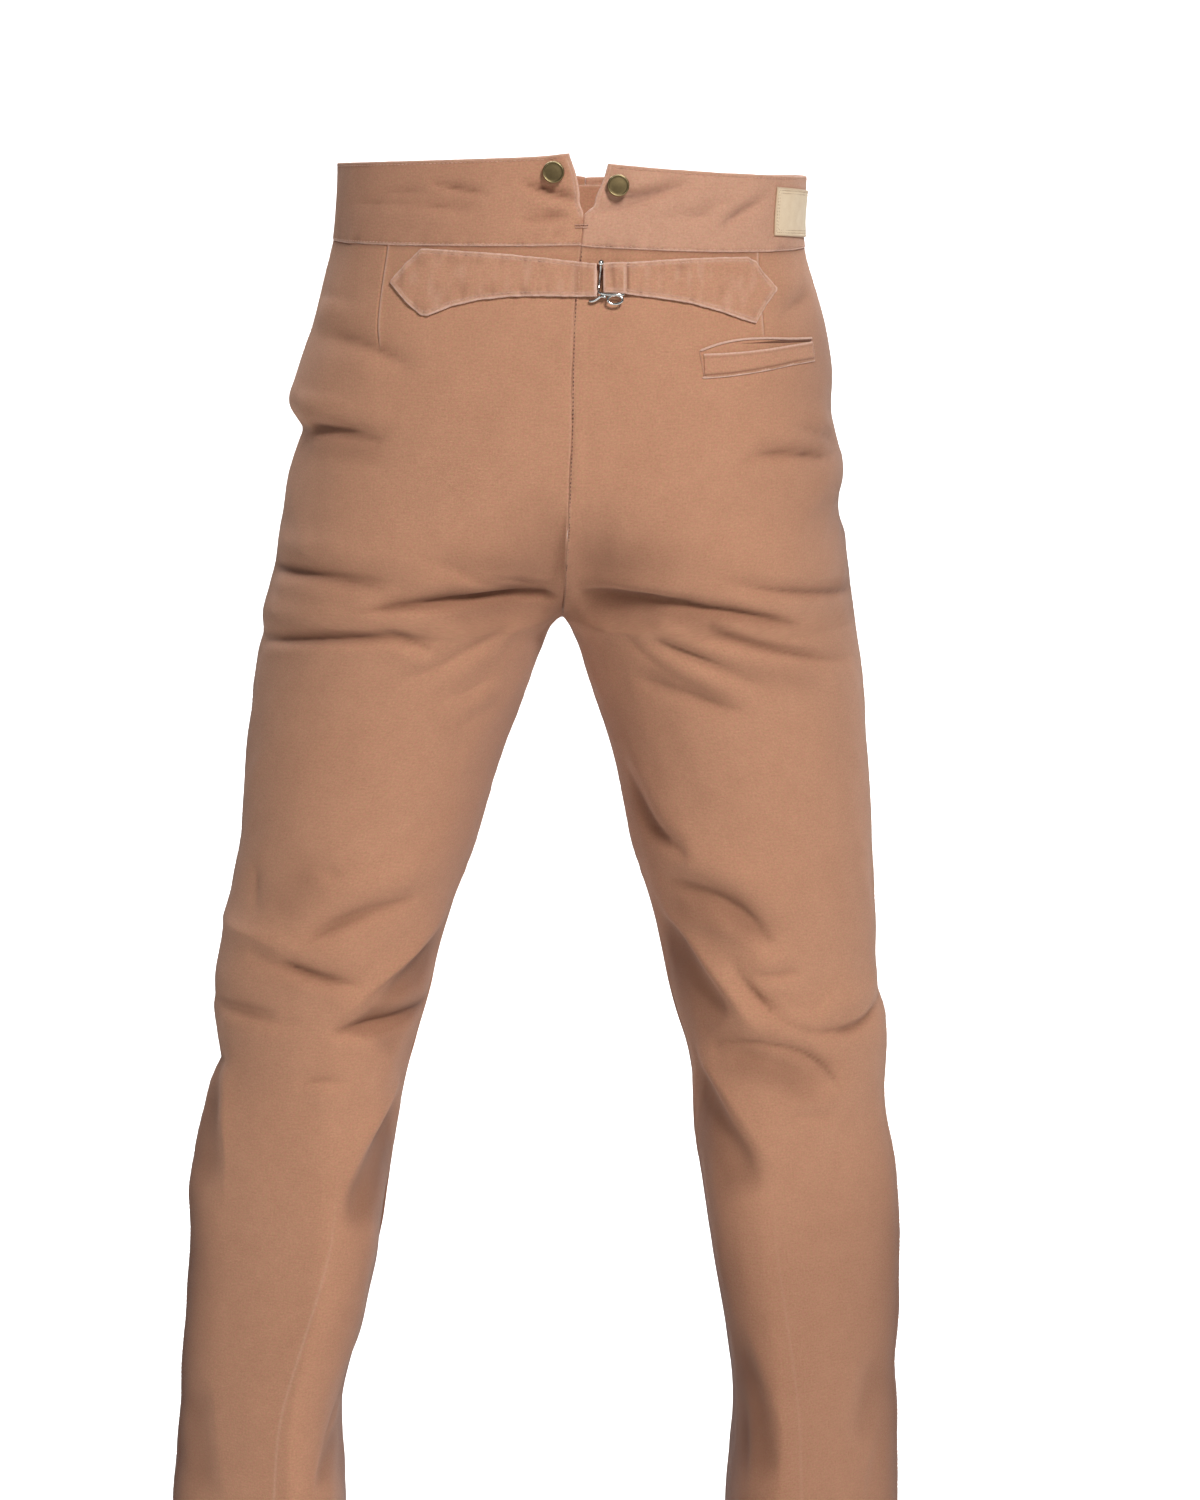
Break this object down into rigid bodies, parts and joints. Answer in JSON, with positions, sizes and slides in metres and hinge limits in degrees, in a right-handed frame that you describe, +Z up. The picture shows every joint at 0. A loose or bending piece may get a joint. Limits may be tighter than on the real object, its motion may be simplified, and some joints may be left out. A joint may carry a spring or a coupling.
{
  "type": "canvas pants",
  "caption": "Worn canvas work trousers with a notched high back waistband, brace buttons, a buckled cinch strap and one welted back pocket.",
  "frame": {"origin": "centre of the waist opening, where the wearer holds the trousers up", "axes": "+Z up, +Y towards the back of the trousers, +X towards the wearer's left"},
  "size_m": [0.5399, 0.2656, 1.1304],
  "materials": {
    "canvas": "matt washed canvas, rusty tan",
    "patch_leather": "pale natural leather, matt",
    "nickel_wire": "bright nickel-plated wire",
    "aged_brass": "dark antique brass"
  },
  "bodies": {
    "root": {"back_left": "canvas", "back_right": "canvas", "front_left": "canvas", "front_right": "canvas", "waistband_left": "canvas", "waistband_right": "canvas", "fly_underlap": "canvas", "cinch_strap_left": "canvas", "cinch_strap_right": "canvas", "pocket_welt": "canvas", "patch": "patch_leather", "cinch_buckle": "nickel_wire", "cinch_buckle_loop": "nickel_wire", "brace_button_back_left": "aged_brass", "brace_button_back_right": "aged_brass", "brace_button_front_left_inner": "aged_brass", "brace_button_front_left_outer": "aged_brass", "brace_button_front_right_inner": "aged_brass", "brace_button_front_right_outer": "aged_brass", "waist_button": "aged_brass"}
  },
  "joints": []
}
